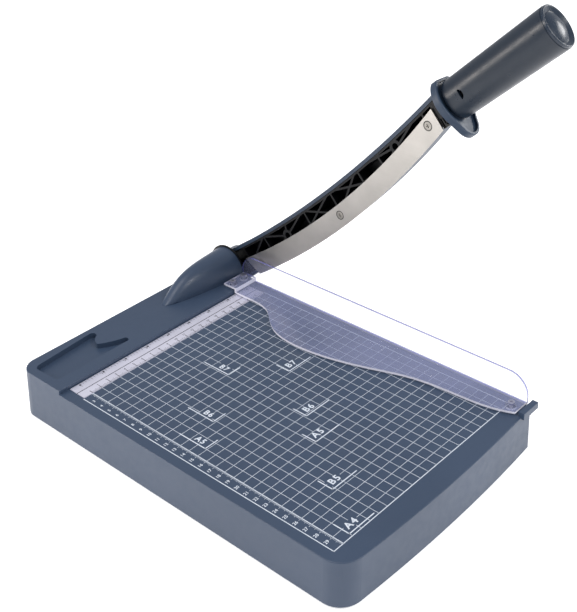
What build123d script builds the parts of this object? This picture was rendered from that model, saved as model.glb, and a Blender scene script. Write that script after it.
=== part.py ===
from build123d import *
from math import cos, radians, sin, sqrt
import os

# Guillotine paper cutter for A4 sheets, in millimetres.
#
# Row frame: the origin is the bottom centre of the whole cutter's box, on the surface that it stands on.
# +X points to the cutting edge, +Y to the pivot, +Z up. The arm is modelled half raised.
#
# Table coordinates are used throughout: x across from the ruler's zero line, y along from the paper stop
# (negative towards the user) and z up from the table's surface. TABLE is the plane that carries them.
#
# Arm coordinates (along, up) start at the pivot and lie in the plane of the blade: "along" runs to the
# handle and "up" is the side away from the cutting edge.

os.makedirs("parts", exist_ok=True)

ZERO_X = -117.14
STOP_Y = 130.1
FOOT_H = 1.5
BASE_H = 40.5
TABLE_Z = FOOT_H + BASE_H
TABLE = Plane(origin=(ZERO_X, STOP_Y, TABLE_Z))

BOTTOM = (Align.CENTER, Align.CENTER, Align.MIN)
TOP = (Align.CENTER, Align.CENTER, Align.MAX)

# Base
LEFT_X = -19.7
RIGHT_X = 217.6
BACK_Y = 56.5
FRONT_Y = -321.7
FRONT_R = 1470
FRONT_MID_X = 95
LEFT_DRAFT = 3.9
END_DRAFT = 1.0
LEDGE_H = 4.0
WALL = 2.6
DECK_T = 3.0
FRONT_CORNER_R = 20
BACK_CORNER_R = 15
RIGHT_CORNER_R = 2.5
EDGE_R = 0.8
RIB_SPACING = 34
RIB_DEPTH = 7
RIB_MID_X = 94
RIB_RUN = 226
HOLLOW_LEFT = 82

# Pivot and arm
ARM_ANGLE = 40.85
PIVOT_Y = 36.0
PIVOT_Z = -8.0
PIVOT_BOLT_R = 4.0
HUB_R = 26.5
HUB_FLAT = 10.5
HUB_BLEND_R = 4.0
BUSH_R = 5.4
BLADE_X = 220.0
BLADE_T = 1.6
ARM_IN = BLADE_X + BLADE_T
ARM_OUT = 240.0
ARM_SKIN = 2.5
RIM_T = 3.2
ARM_END = 346.0
RIM_CENTRE = (148.2, 1380.7)
RIM_R = 1363.6
KEEL_CENTRE = (143.4, 839.3)
KEEL_R = 855.8
KEEL_SHARE = 0.75
EDGE_CURVE_R = 858.1
BLADE_BACK_CENTRE = (146.1, 826.5)
BLADE_BACK_R = 826.5
BLADE_END = 339.5
BLADE_SCREWS = [(56, -4), (187.9, -7.5), (328.1, 13.4)]
SCREW_HEAD_R = 4.0
SCREW_R = 2.0

# Handle, on an axis that leans out of the blade's plane
HANDLE_ALONG = 363.6
HANDLE_UP = 18.0
HANDLE_X = 222.0
LEAN_OUT = 11.0
LEAN_UP = 1.85
HANDLE_L = 99.0
HANDLE_R0 = 16.3
HANDLE_R1 = 17.9
GRIP_BORE = 13.4
FLANGE_T = 6.0

ALONG = Vector(0, -cos(radians(ARM_ANGLE)), sin(radians(ARM_ANGLE)))
UP = Vector(0, sin(radians(ARM_ANGLE)), cos(radians(ARM_ANGLE)))
PIVOT = Vector(ZERO_X, STOP_Y + PIVOT_Y, TABLE_Z + PIVOT_Z)


def arm_plane(x):
    """The arm's plane at table coordinate x. Its normal points to -X, its local axes are along and up."""
    return Plane(origin=PIVOT + Vector(x, 0, 0), x_dir=ALONG, z_dir=(-1, 0, 0))


def side_plane(x):
    """An upright plane at table coordinate x, its normal to +X, its local axes the table's y and z."""
    return Plane(origin=(ZERO_X + x, STOP_Y, TABLE_Z), x_dir=(0, 1, 0), z_dir=(1, 0, 0))


def spots(plane, points):
    """Locations on a plane, one for each local point."""
    return [plane.location * Location((x, y, 0)) for x, y in points]


def arc_height(centre, radius, along):
    """Height of a long upward-curving arc, whose centre is above the arm."""
    return centre[1] - sqrt(radius**2 - (along - centre[0]) ** 2)


def rim_up(along, inset=0.0):
    """Top of the arm, or a line that runs below it by inset."""
    return arc_height(RIM_CENTRE, RIM_R + inset, along)


def keel_up(along, inset=0.0):
    """Underside of the arm, or a line above it. The lower wall is thinner than the rim."""
    return arc_height(KEEL_CENTRE, KEEL_R - inset * KEEL_SHARE, along)


# ---------------------------------------------------------------- base shell


def bowed_front(x, front):
    """Front edge of the base at table coordinate x, for a bow whose foremost point is at front."""
    return front + FRONT_R - sqrt(FRONT_R**2 - (x - FRONT_MID_X) ** 2)


def base_plan(height, inset, right):
    """Outline of the base at a height above the table's surface. Its walls lean out towards the bottom."""
    share = (LEDGE_H - height) / (LEDGE_H + BASE_H)
    left = LEFT_X - LEFT_DRAFT * share + inset
    front = FRONT_Y - END_DRAFT * share + inset
    back = BACK_Y + END_DRAFT * share - inset
    ends = [(right, bowed_front(right, front)), (left, bowed_front(left, front))]
    with BuildSketch(TABLE.offset(height)) as outline:
        with BuildLine():
            Polyline(ends[1], (left, back), (right, back), ends[0])
            ThreePointArc(ends[0], (FRONT_MID_X, front), ends[1])
        make_face()
        corners = outline.vertices().sort_by(Axis.X)
        fillet(corners[:2].sort_by(Axis.Y)[0], FRONT_CORNER_R - inset)
        fillet(outline.vertices().sort_by(Axis.Y)[-2:].sort_by(Axis.X)[0], BACK_CORNER_R - inset)
        fillet(outline.vertices().sort_by(Axis.X)[-2:], RIGHT_CORNER_R)
    return outline.sketch


def outer_plan(height):
    """The base's outside at a height above the table's surface."""
    return base_plan(height, 0, RIGHT_X)


def inner_plan(height):
    """The base's inside at a height above the table's surface."""
    return base_plan(height, WALL, RIGHT_X - 3)


FOOT_SPOTS = [(-6, -302), (200, -302), (-6, 39), (186, 42)]
FOOT_R = 8.0
FOOT_PEG_R = 3.0
COUNTER_SCREW_Y = [-300, -225, -150, -75, -3]
COUNTER_SCREW_Z = -7.0
TABLE_CENTRE = ((LEFT_X + RIGHT_X) / 2, FRONT_Y / 2)
BRACKET_SCREWS = [(14, -28), (14, -4), (48, -28)]
GUARD_BACK_SCREWS = [(196, 8), (211, 8)]
GUARD_FRONT_SCREWS = [(207, -304)]

# A stop bar on the front edge: the closed arm's neck lands on it, outside the table
STOP_BACK = -315.0
STOP_FRONT = -320.5
STOP_LEFT = 201.0
STOP_RIGHT = 222.0
STOP_TOP = 4.0

# The pen tray: a long well whose right end is a curved finger hollow
TRAY_DEPTH = 5.0

with BuildSketch(TABLE.offset(LEDGE_H)) as tray_plan:
    with BuildLine():
        Line((-6.5, 14.0), (66.0, 14.0))
        ThreePointArc((66.0, 14.0), (70.6, 16.6), (69.2, 19.8))
        ThreePointArc((69.2, 19.8), (57.0, 24.4), (46.6, 31.2))
        ThreePointArc((46.6, 31.2), (49.0, 37.2), (54.6, 42.2))
        ThreePointArc((54.6, 42.2), (56.4, 47.0), (52.5, 49.7))
        Line((52.5, 49.7), (-6.8, 45.4))
        ThreePointArc((-6.8, 45.4), (-10.6, 43.4), (-11.7, 40.0))
        Line((-11.7, 40.0), (-10.6, 18.0))
        ThreePointArc((-10.6, 18.0), (-9.4, 15.2), (-6.5, 14.0))
    make_face()

with BuildPart() as base_shell:
    loft([outer_plan(-BASE_H), outer_plan(LEDGE_H)], ruled=True)
    with BuildSketch(TABLE.offset(LEDGE_H)):
        with Locations((TABLE_CENTRE[0], -200)):
            Rectangle(300, 400)
    extrude(amount=-LEDGE_H, mode=Mode.SUBTRACT)
    table_edges = base_shell.edges().filter_by_position(Axis.Z, TABLE_Z - 0.1, TABLE_Z + 0.1)
    stop_y = STOP_Y - 0.5
    fillet(table_edges.filter_by(lambda e: e.center().Y < stop_y), EDGE_R)
    fillet(base_shell.edges().group_by(Axis.Z)[-1], EDGE_R)
    # hollow underside
    loft([inner_plan(-BASE_H), inner_plan(-DECK_T)], ruled=True, mode=Mode.SUBTRACT)
    # hollow ledge behind the paper stop, to the right of the tray
    with BuildSketch(TABLE.offset(-DECK_T - 0.5)):
        with Locations((HOLLOW_LEFT, 3)):
            Rectangle(RIGHT_X - 3 - HOLLOW_LEFT, BACK_Y - WALL - 3, align=(Align.MIN, Align.MIN))
    extrude(amount=LEDGE_H + 0.9, mode=Mode.SUBTRACT)
    # stiffening ribs under the table
    with BuildSketch(TABLE.offset(-DECK_T - RIB_DEPTH)):
        for index in range(6):
            x = RIB_MID_X + RIB_SPACING * (index - 2.5)
            with Locations((x, -1)):
                Rectangle(2, -1 - bowed_front(x, FRONT_Y) - WALL / 2, align=(Align.CENTER, Align.MAX))
        with Locations((RIB_MID_X, FRONT_Y / 2)):
            with GridLocations(0, RIB_SPACING, 1, 9):
                Rectangle(RIB_RUN, 2)
    extrude(amount=RIB_DEPTH)
    # corner posts that carry the feet, up to the table in front and to the ledge behind
    for posts, top in ((FOOT_SPOTS[:2], -1.0), (FOOT_SPOTS[2:], 2.0)):
        with BuildSketch(TABLE.offset(-BASE_H)):
            with Locations(*posts):
                Circle(FOOT_R + 1.5)
        extrude(amount=BASE_H + top)
    with BuildSketch(TABLE.offset(-BASE_H)):
        with Locations(*FOOT_SPOTS):
            Circle(FOOT_PEG_R)
    extrude(amount=8, mode=Mode.SUBTRACT)
    # stop bar, with a gusset outside the right wall
    with BuildSketch(TABLE.offset(-2)):
        with Locations((STOP_LEFT, STOP_BACK)):
            Rectangle(STOP_RIGHT - STOP_LEFT, STOP_BACK - STOP_FRONT, align=(Align.MIN, Align.MAX))
    extrude(amount=STOP_TOP + 2)
    with BuildSketch(Plane(origin=(ZERO_X, STOP_Y + STOP_BACK, TABLE_Z), x_dir=(1, 0, 0), z_dir=(0, -1, 0))):
        with BuildLine():
            Polyline((RIGHT_X - 1, 0), (STOP_RIGHT, 0), (RIGHT_X, -8), (RIGHT_X - 1, -8), close=True)
        make_face()
    extrude(amount=2)
    # pen tray
    extrude(tray_plan.sketch, amount=-TRAY_DEPTH, mode=Mode.SUBTRACT)
    # screw holes for the lower blade, the pivot and its bracket, all through the right wall
    with BuildSketch(side_plane(RIGHT_X)):
        with Locations(*[(y, COUNTER_SCREW_Z) for y in COUNTER_SCREW_Y]):
            Circle(SCREW_R)
        with Locations((PIVOT_Y, PIVOT_Z)):
            Circle(PIVOT_BOLT_R + 0.1)
        with Locations(*BRACKET_SCREWS):
            Circle(SCREW_R)
    extrude(amount=-3.5, mode=Mode.SUBTRACT)

base_shell.part.label = "base_shell"
export_step(base_shell.part, "parts/base_shell.step")


# ---------------------------------------------------------------- base fittings

with BuildPart() as rubber_feet:
    with BuildSketch(TABLE.offset(-TABLE_Z)):
        with Locations(*FOOT_SPOTS):
            Circle(FOOT_R)
    extrude(amount=FOOT_H)
    with BuildSketch(TABLE.offset(-BASE_H)):
        with Locations(*FOOT_SPOTS):
            Circle(FOOT_PEG_R)
    extrude(amount=6)

rubber_feet.part.label = "rubber_feet"
export_step(rubber_feet.part, "parts/rubber_feet.step")

STRIP_LEFT = -9.3
STRIP_RIGHT = 208.6
STRIP_BACK = -1.0
STRIP_W = 19.5
STRIP_T = 0.6
STRIP_CENTRE = ((STRIP_LEFT + STRIP_RIGHT) / 2, STRIP_BACK - STRIP_W / 2)

with BuildPart() as ruler_strip:
    with BuildSketch(TABLE):
        with Locations(STRIP_CENTRE):
            Rectangle(STRIP_RIGHT - STRIP_LEFT, STRIP_W)
    extrude(amount=STRIP_T)
    with BuildSketch(TABLE.offset(STRIP_T)):
        with Locations(STRIP_CENTRE):
            Rectangle(STRIP_RIGHT - STRIP_LEFT, 0.9)
    extrude(amount=-0.3, mode=Mode.SUBTRACT)

ruler_strip.part.label = "ruler_strip"
export_step(ruler_strip.part, "parts/ruler_strip.step")

# The fixed lower blade stands against the right wall, its top edge level with the table
COUNTER_T = 2.0
COUNTER_H = 14.0
COUNTER_FRONT = -312.0
COUNTER_BACK = 8.0
COUNTER_X = RIGHT_X + COUNTER_T

with BuildPart() as counter_blade:
    with BuildSketch(side_plane(RIGHT_X)):
        with Locations(((COUNTER_FRONT + COUNTER_BACK) / 2, -COUNTER_H / 2)):
            Rectangle(COUNTER_BACK - COUNTER_FRONT, COUNTER_H)
    extrude(amount=COUNTER_T)
    with Locations(*spots(side_plane(RIGHT_X), [(y, COUNTER_SCREW_Z) for y in COUNTER_SCREW_Y])):
        Cone(SCREW_R, SCREW_HEAD_R, COUNTER_T, align=BOTTOM, mode=Mode.SUBTRACT)

counter_blade.part.label = "counter_blade"
export_step(counter_blade.part, "parts/counter_blade.step")

with BuildPart() as counter_blade_screws:
    with Locations(*spots(side_plane(RIGHT_X), [(y, COUNTER_SCREW_Z) for y in COUNTER_SCREW_Y])):
        Cone(SCREW_R, SCREW_HEAD_R, COUNTER_T, align=BOTTOM)
        Cylinder(SCREW_R, 8, align=TOP)
    with Locations(*spots(side_plane(COUNTER_X), [(y, COUNTER_SCREW_Z) for y in COUNTER_SCREW_Y])):
        Box(4.2, 0.9, 1.2, align=TOP, mode=Mode.SUBTRACT)
        Box(0.9, 4.2, 1.2, align=TOP, mode=Mode.SUBTRACT)

counter_blade_screws.part.label = "counter_blade_screws"
export_step(counter_blade_screws.part, "parts/counter_blade_screws.step")

INNER_WALL_X = RIGHT_X - 3

with BuildPart() as counter_blade_nuts:
    with BuildSketch(side_plane(INNER_WALL_X)):
        with Locations(*[(y, COUNTER_SCREW_Z) for y in COUNTER_SCREW_Y]):
            RegularPolygon(4.0, 6)
            Circle(SCREW_R, mode=Mode.SUBTRACT)
    extrude(amount=-3.2)

counter_blade_nuts.part.label = "counter_blade_nuts"
export_step(counter_blade_nuts.part, "parts/counter_blade_nuts.step")

# ---------------------------------------------------------------- pivot housing

HOUSING_TIP_Y = 33.9
HOUSING_MOUTH_Y = 35.3
HOUSING_TIP = 128.4
HOUSING_MOUTH = 216.0
HOUSING_T = 2.2
HOUSING_W = 21.6
HOUSING_H = 23.6
HOUSING_STEPS = 8


def housing_row(x):
    """The housing's x, half width and height above the ledge: blunt at the tip, level at the mouth."""
    share = (x - HOUSING_TIP + 1.4) / (HOUSING_MOUTH - HOUSING_TIP + 1.4)
    return x, HOUSING_W * share**0.53, HOUSING_H * (1 - (1 - share) ** 4.95) ** 1.57


def housing_section(x, half_width, height):
    """One upright half-oval section of the pivot housing, which stands on the ledge."""
    y = HOUSING_TIP_Y + (HOUSING_MOUTH_Y - HOUSING_TIP_Y) * (x - HOUSING_TIP) / (HOUSING_MOUTH - HOUSING_TIP)
    with BuildSketch(side_plane(x)) as section:
        with Locations((y, LEDGE_H)):
            Ellipse(half_width, height)
            Rectangle(2 * half_width + 2, height + 2, align=(Align.CENTER, Align.MAX), mode=Mode.SUBTRACT)
    return section.sketch


# The sections stand closer together near the tip
HOUSING_X = [
    HOUSING_TIP + (HOUSING_MOUTH - HOUSING_TIP) * (step / HOUSING_STEPS) ** 1.35
    for step in range(HOUSING_STEPS + 1)
]
HOUSING_ROWS = [housing_row(x) for x in HOUSING_X]

with BuildPart() as pivot_housing:
    loft([housing_section(*row) for row in HOUSING_ROWS])
    hollow = [(x, w - HOUSING_T, h - HOUSING_T) for x, w, h in HOUSING_ROWS[3:-1]]
    loft([housing_section(*row) for row in hollow], mode=Mode.SUBTRACT)

pivot_housing.part.label = "pivot_housing"
export_step(pivot_housing.part, "parts/pivot_housing.step")

# A dark ring, cut away for the guard's fence, closes the gap between the housing's mouth and the arm's hub
SEAL_R = 23.3
SEAL_Z = 5.8
SEAL_FRONT = 15.9

with BuildPart() as housing_seal:
    with BuildSketch(side_plane(HOUSING_MOUTH)):
        with Locations((HOUSING_MOUTH_Y, SEAL_Z)):
            Circle(SEAL_R)
        with Locations((HOUSING_MOUTH_Y, LEDGE_H)):
            Rectangle(60, 60, align=(Align.CENTER, Align.MAX), mode=Mode.SUBTRACT)
        with Locations((SEAL_FRONT, SEAL_Z)):
            Rectangle(60, 60, align=(Align.MAX, Align.CENTER), mode=Mode.SUBTRACT)
    extrude(amount=1.3)

housing_seal.part.label = "housing_seal"
export_step(housing_seal.part, "parts/housing_seal.step")

# ---------------------------------------------------------------- pivot

BRACKET_T = 3.0
BRACKET_X = INNER_WALL_X - BRACKET_T
WASHER_X = BRACKET_X - 1.6
SPRING_X = WASHER_X - 3.0
NUT_X = SPRING_X - 7.0
THRUST_X = ARM_IN + 0.1
HUB_IN = ARM_IN + 0.3
OUTER_WASHER_X = ARM_OUT + 0.1
BOLT_HEAD_X = OUTER_WASHER_X + 1.6

with BuildPart() as pivot_bracket:
    with BuildSketch(side_plane(BRACKET_X)):
        with Locations((30.5, -16)):
            RectangleRounded(41, 32, 4)
        with Locations((PIVOT_Y, PIVOT_Z)):
            Circle(PIVOT_BOLT_R + 0.1, mode=Mode.SUBTRACT)
        with Locations(*BRACKET_SCREWS):
            Circle(SCREW_R, mode=Mode.SUBTRACT)
    extrude(amount=BRACKET_T)

pivot_bracket.part.label = "pivot_bracket"
export_step(pivot_bracket.part, "parts/pivot_bracket.step")

with BuildPart() as bracket_screws:
    with Locations(*spots(side_plane(BRACKET_X), BRACKET_SCREWS)):
        Cylinder(SCREW_R, 5.6, align=BOTTOM)
        Cylinder(3.6, 2.4, align=TOP)

bracket_screws.part.label = "bracket_screws"
export_step(bracket_screws.part, "parts/bracket_screws.step")

PIVOT_SPOT = [(PIVOT_Y, PIVOT_Z)]


def pivot_ring(x, length, outer, inner):
    """A ring on the pivot's axis, from table coordinate x outwards."""
    with BuildPart() as ring:
        with BuildSketch(side_plane(x)):
            with Locations(*PIVOT_SPOT):
                Circle(outer)
                Circle(inner, mode=Mode.SUBTRACT)
        extrude(amount=length)
    return ring.part


with BuildPart() as pivot_bolt:
    with BuildSketch(side_plane(BOLT_HEAD_X)):
        with Locations(*PIVOT_SPOT):
            RegularPolygon(7.5, 6)
    extrude(amount=5.3)
    with BuildSketch(side_plane(NUT_X - 2)):
        with Locations(*PIVOT_SPOT):
            Circle(PIVOT_BOLT_R)
    extrude(amount=BOLT_HEAD_X - NUT_X + 2)
    chamfer(pivot_bolt.edges().filter_by(GeomType.CIRCLE).group_by(Axis.X)[0], 0.8)

pivot_bolt.part.label = "pivot_bolt"
export_step(pivot_bolt.part, "parts/pivot_bolt.step")

with BuildPart() as pivot_washers:
    add(pivot_ring(WASHER_X, 1.6, 9.0, PIVOT_BOLT_R))
    add(pivot_ring(OUTER_WASHER_X, 1.6, 9.5, PIVOT_BOLT_R))

pivot_washers.part.label = "pivot_washers"
export_step(pivot_washers.part, "parts/pivot_washers.step")

with BuildPart() as thrust_washer:
    add(pivot_ring(RIGHT_X, THRUST_X - RIGHT_X, 9.5, PIVOT_BOLT_R))

thrust_washer.part.label = "thrust_washer"
export_step(thrust_washer.part, "parts/thrust_washer.step")

# Two disc springs, coned opposite ways, keep the hub pressed to its washer
with BuildPart() as disc_springs:
    with BuildSketch(Plane(origin=PIVOT, x_dir=(1, 0, 0), z_dir=(0, -1, 0))):
        with BuildLine():
            Polyline(
                (SPRING_X, PIVOT_BOLT_R),
                (SPRING_X + 0.9, PIVOT_BOLT_R),
                (SPRING_X + 1.5, 8.5),
                (SPRING_X + 0.6, 8.5),
                close=True,
            )
        make_face()
        with BuildLine():
            Polyline(
                (SPRING_X + 2.1, PIVOT_BOLT_R),
                (SPRING_X + 3.0, PIVOT_BOLT_R),
                (SPRING_X + 2.4, 8.5),
                (SPRING_X + 1.5, 8.5),
                close=True,
            )
        make_face()
    revolve(axis=Axis(PIVOT, (1, 0, 0)))

disc_springs.part.label = "disc_springs"
export_step(disc_springs.part, "parts/disc_springs.step")

with BuildPart() as lock_nut:
    with BuildSketch(side_plane(NUT_X)):
        with Locations(*PIVOT_SPOT):
            RegularPolygon(7.5, 6)
            Circle(PIVOT_BOLT_R, mode=Mode.SUBTRACT)
    extrude(amount=SPRING_X - NUT_X)

lock_nut.part.label = "lock_nut"
export_step(lock_nut.part, "parts/lock_nut.step")

with BuildPart() as pivot_bush:
    add(pivot_ring(HUB_IN, ARM_OUT - HUB_IN, BUSH_R, PIVOT_BOLT_R + 0.05))

pivot_bush.part.label = "pivot_bush"
export_step(pivot_bush.part, "parts/pivot_bush.step")

# ---------------------------------------------------------------- clear guard

FENCE_IN = 216.6
FENCE_OUT = 218.6
FENCE_TOP = 27.0
GUARD_T = 2.0
PLATE_LOW = 2.0
TAB_LOW = 6.0
GUARD_FRONT = -312.8
TAB_BACK = 13.0
FENCE_BACK = 15.6
FREE_EDGE = [
    (189, -1.2),
    (188.9, -22),
    (185, -47),
    (173.3, -62.7),
    (163.1, -79.3),
    (158.6, -102),
    (162.8, -145.8),
    (173.2, -182.5),
    (184.4, -217),
    (189, -255.6),
    (192.4, -293),
    (199, GUARD_FRONT),
]

with BuildPart() as clear_guard:
    # plate over the table, with a free edge that follows the hand
    with BuildSketch(TABLE.offset(PLATE_LOW)):
        with BuildLine():
            Line((FENCE_OUT, -1.2), (189, -1.2))
            Spline(*FREE_EDGE)
            Line((199, GUARD_FRONT), (FENCE_OUT, GUARD_FRONT))
            Line((FENCE_OUT, GUARD_FRONT), (FENCE_OUT, -1.2))
        make_face()
    extrude(amount=GUARD_T)
    # step up to the ledge and the tab that is screwed down there
    with BuildSketch(TABLE.offset(PLATE_LOW)):
        with Locations((189, -1.2 - GUARD_T)):
            Rectangle(FENCE_OUT - 189, GUARD_T, align=(Align.MIN, Align.MIN))
    extrude(amount=TAB_LOW + GUARD_T - PLATE_LOW)
    with BuildSketch(TABLE.offset(TAB_LOW)):
        with Locations((189, -1.2 - GUARD_T)):
            Rectangle(FENCE_OUT - 189, TAB_BACK + 1.2 + GUARD_T, align=(Align.MIN, Align.MIN))
    extrude(amount=GUARD_T)
    # upright fence beside the blade
    with BuildSketch(side_plane(FENCE_IN)):
        with BuildLine():
            Line((GUARD_FRONT, PLATE_LOW), (GUARD_FRONT, 8))
            ThreePointArc((GUARD_FRONT, 8), (-307.2, 21.4), (-293.8, FENCE_TOP))
            Line((-293.8, FENCE_TOP), (1.5, FENCE_TOP))
            ThreePointArc((1.5, FENCE_TOP), (12.4, 19.0), (FENCE_BACK, 7.5))
            Polyline((FENCE_BACK, 7.5), (FENCE_BACK, TAB_LOW), (-2, TAB_LOW), (-2, PLATE_LOW))
            Line((-2, PLATE_LOW), (GUARD_FRONT, PLATE_LOW))
        make_face()
    extrude(amount=FENCE_OUT - FENCE_IN)
    # spacer bosses under the screws
    with BuildSketch(TABLE.offset(LEDGE_H)):
        with Locations(*GUARD_BACK_SCREWS):
            Circle(4)
    extrude(amount=TAB_LOW - LEDGE_H)
    with BuildSketch(TABLE):
        with Locations(*GUARD_FRONT_SCREWS):
            Circle(4.5)
    extrude(amount=PLATE_LOW)
    with Locations(*spots(TABLE.offset(TAB_LOW + GUARD_T), GUARD_BACK_SCREWS)):
        Cylinder(1.6, 6, align=TOP, mode=Mode.SUBTRACT)
    with Locations(*spots(TABLE.offset(PLATE_LOW + GUARD_T), GUARD_FRONT_SCREWS)):
        Cylinder(1.6, 6, align=TOP, mode=Mode.SUBTRACT)

clear_guard.part.label = "clear_guard"
export_step(clear_guard.part, "parts/clear_guard.step")

with BuildPart() as guard_screws:
    for plane, points, length in (
        (TABLE.offset(TAB_LOW + GUARD_T), GUARD_BACK_SCREWS, TAB_LOW + GUARD_T - LEDGE_H),
        (TABLE.offset(PLATE_LOW + GUARD_T), GUARD_FRONT_SCREWS, PLATE_LOW + GUARD_T),
    ):
        with Locations(*spots(plane, points)):
            Cylinder(3.0, 1.6, align=BOTTOM)
            Cylinder(1.6, length, align=TOP)
        with Locations(*spots(plane.offset(1.6), points)):
            Box(3.2, 0.7, 0.9, align=TOP, mode=Mode.SUBTRACT)
            Box(0.7, 3.2, 0.9, align=TOP, mode=Mode.SUBTRACT)

guard_screws.part.label = "guard_screws"
export_step(guard_screws.part, "parts/guard_screws.step")

# ---------------------------------------------------------------- arm


def beam_plan(plane, inset, hub, start, end):
    """Side view of the arm between two points along it, its hub included, drawn inside the arm's outline."""
    middle = (start + end) / 2
    flat = HUB_FLAT + hub - HUB_R
    join = KEEL_CENTRE[0] - sqrt((KEEL_R - inset * KEEL_SHARE) ** 2 - (KEEL_CENTRE[1] + flat) ** 2)
    with BuildSketch(plane) as outline:
        Circle(hub)
        with Locations((0, -flat)):
            Rectangle(80, 60, align=(Align.CENTER, Align.MAX), mode=Mode.SUBTRACT)
        with BuildLine():
            ThreePointArc(*[(a, rim_up(a, inset)) for a in (start, middle, end)])
            Line((end, rim_up(end, inset)), (end, keel_up(end, inset)))
            ThreePointArc((end, keel_up(end, inset)), (middle, keel_up(middle, inset)), (join, -flat))
            Polyline((join, -flat), (start, -flat), (start, rim_up(start, inset)))
        make_face()
        fillet(outline.vertices().filter_by(lambda v: v.X < 20), HUB_BLEND_R)
    return outline.sketch


BLOCK_START = 339.8
RIM_TIP_LOW = 27.4

with BuildPart() as arm_shell:
    extrude(beam_plan(arm_plane(ARM_OUT), 0, HUB_R, 8, ARM_END), amount=ARM_OUT - ARM_IN - 0.2)
    pocket = beam_plan(arm_plane(ARM_OUT - ARM_SKIN), RIM_T, HUB_R - RIM_T, 8, ARM_END + 1)
    extrude(pocket, amount=ARM_OUT - ARM_SKIN - ARM_IN, mode=Mode.SUBTRACT)
    # the core's end block closes the arm below the rim's tip
    with BuildSketch(arm_plane(ARM_OUT)):
        with Locations((BLOCK_START - 0.2, RIM_TIP_LOW)):
            Rectangle(20, 40, align=(Align.MIN, Align.MAX))
        Circle(BUSH_R)
    extrude(amount=ARM_OUT - ARM_IN, mode=Mode.SUBTRACT)

arm_shell.part.label = "arm_shell"
export_step(arm_shell.part, "parts/arm_shell.step")

CORE_IN = HUB_IN + 0.4
CORE_OUT = ARM_OUT - ARM_SKIN - 0.1
CORE_GAP = 0.2
CORE_HUB_R = HUB_R - RIM_T - CORE_GAP
CORE_DEPTH = CORE_OUT - CORE_IN
RIB_T = 1.8
WEB_T = 1.6
BOSS_R = 6.0
SCREW_BOSS_R = 6.5

# Ribs of the lattice, as (along, up) end points in three sets: upright ribs, diagonals and boss ties
UPRIGHTS = [(39, 18, 39, -9), (76, 16, 76, -10), (145, 16, 145, -11), (188.5, 17, 188.5, -11)]
UPRIGHTS += [(231.8, 19, 232.8, -8), (261.2, 22, 263.4, -4), (326.4, 29, 326.8, 6)]
DIAGONALS = [(75, 15.2, 36, -2), (144, 14.6, 186, -5.9), (188, 15.3, 144, -1.0)]
DIAGONALS += [(188, 15.3, 246, 0.6), (231, 17.5, 190, -5.0), (326.4, 27.4, 262, 5.2)]
BOSSES = [(108.4, 3.2), (284.8, 14.6)]
TIES = [(75, 15.2, 108.4, 3.2), (113.6, 15, 108.4, 3.2), (144, 14.6, 108.4, 3.2)]
TIES += [(231, 17.5, 284.8, 14.6), (289, 25, 284.8, 14.6)]


def rib(x0, y0, x1, y1):
    """A straight rib, drawn as a thin rectangle between two points of the current sketch."""
    start, end = Vector(x0, y0), Vector(x1, y1)
    run = end - start
    middle = (start + end) / 2
    angle = Vector(1, 0).get_signed_angle(run, Vector(0, 0, 1))
    return Location((middle.X, middle.Y, 0), (0, 0, angle)), run.length


# Handle frame: local x up, local y towards the table, local z along the handle
LEAN = radians(LEAN_OUT)
TILT = radians(LEAN_UP)
HANDLE_DIR = (ALONG * cos(TILT) + UP * sin(TILT)) * cos(LEAN) + Vector(sin(LEAN), 0, 0)
HANDLE_LIFT = UP * cos(TILT) - ALONG * sin(TILT)
HANDLE_ORIGIN = PIVOT + Vector(HANDLE_X, 0, 0) + ALONG * HANDLE_ALONG + UP * HANDLE_UP
HANDLE = Plane(origin=HANDLE_ORIGIN, x_dir=HANDLE_LIFT, z_dir=HANDLE_DIR)
STEM_R = 9.8
STEM_SHAFT_R = 8.0
STEM_END = 81.8
STEM_FIN = 13.2
NECK_LOW = 12.4
NECK_HIGH = 27.0
NECK_IN = 219.5
NECK_OUT = 236.0
INSERT_R = 3.2

# The neck joins the arm to the handle's stem, and ends square to the handle behind the finger guard
with BuildPart() as neck:
    with BuildSketch(arm_plane(NECK_OUT)):
        with BuildLine():
            Polyline((343, NECK_LOW), (366, NECK_LOW), (366, NECK_HIGH), (343, NECK_HIGH), close=True)
        make_face()
    extrude(amount=NECK_OUT - NECK_IN)
    split(bisect_by=HANDLE.offset(-FLANGE_T), keep=Keep.BOTTOM)

core_plan = beam_plan(arm_plane(CORE_OUT), RIM_T + CORE_GAP, CORE_HUB_R, 8, BLOCK_START)
core_window = beam_plan(
    arm_plane(CORE_OUT), RIM_T + CORE_GAP + RIB_T, CORE_HUB_R - RIB_T, 8, BLOCK_START - RIB_T
)

# Lattice of ribs and bosses, trimmed to the arm's outline
with BuildPart() as lattice:
    with BuildSketch(arm_plane(CORE_OUT)):
        for ends in UPRIGHTS + DIAGONALS + TIES:
            place, length = rib(*ends)
            with Locations(place):
                Rectangle(length, RIB_T)
        Circle(13)
        with Locations(*BOSSES):
            Circle(BOSS_R)
        with Locations(*BLADE_SCREWS):
            Circle(SCREW_BOSS_R)
        with Locations(*BOSSES):
            Circle(3.2, mode=Mode.SUBTRACT)
    extrude(amount=CORE_DEPTH)
    extrude(core_plan, amount=CORE_DEPTH, mode=Mode.INTERSECT)

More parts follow.
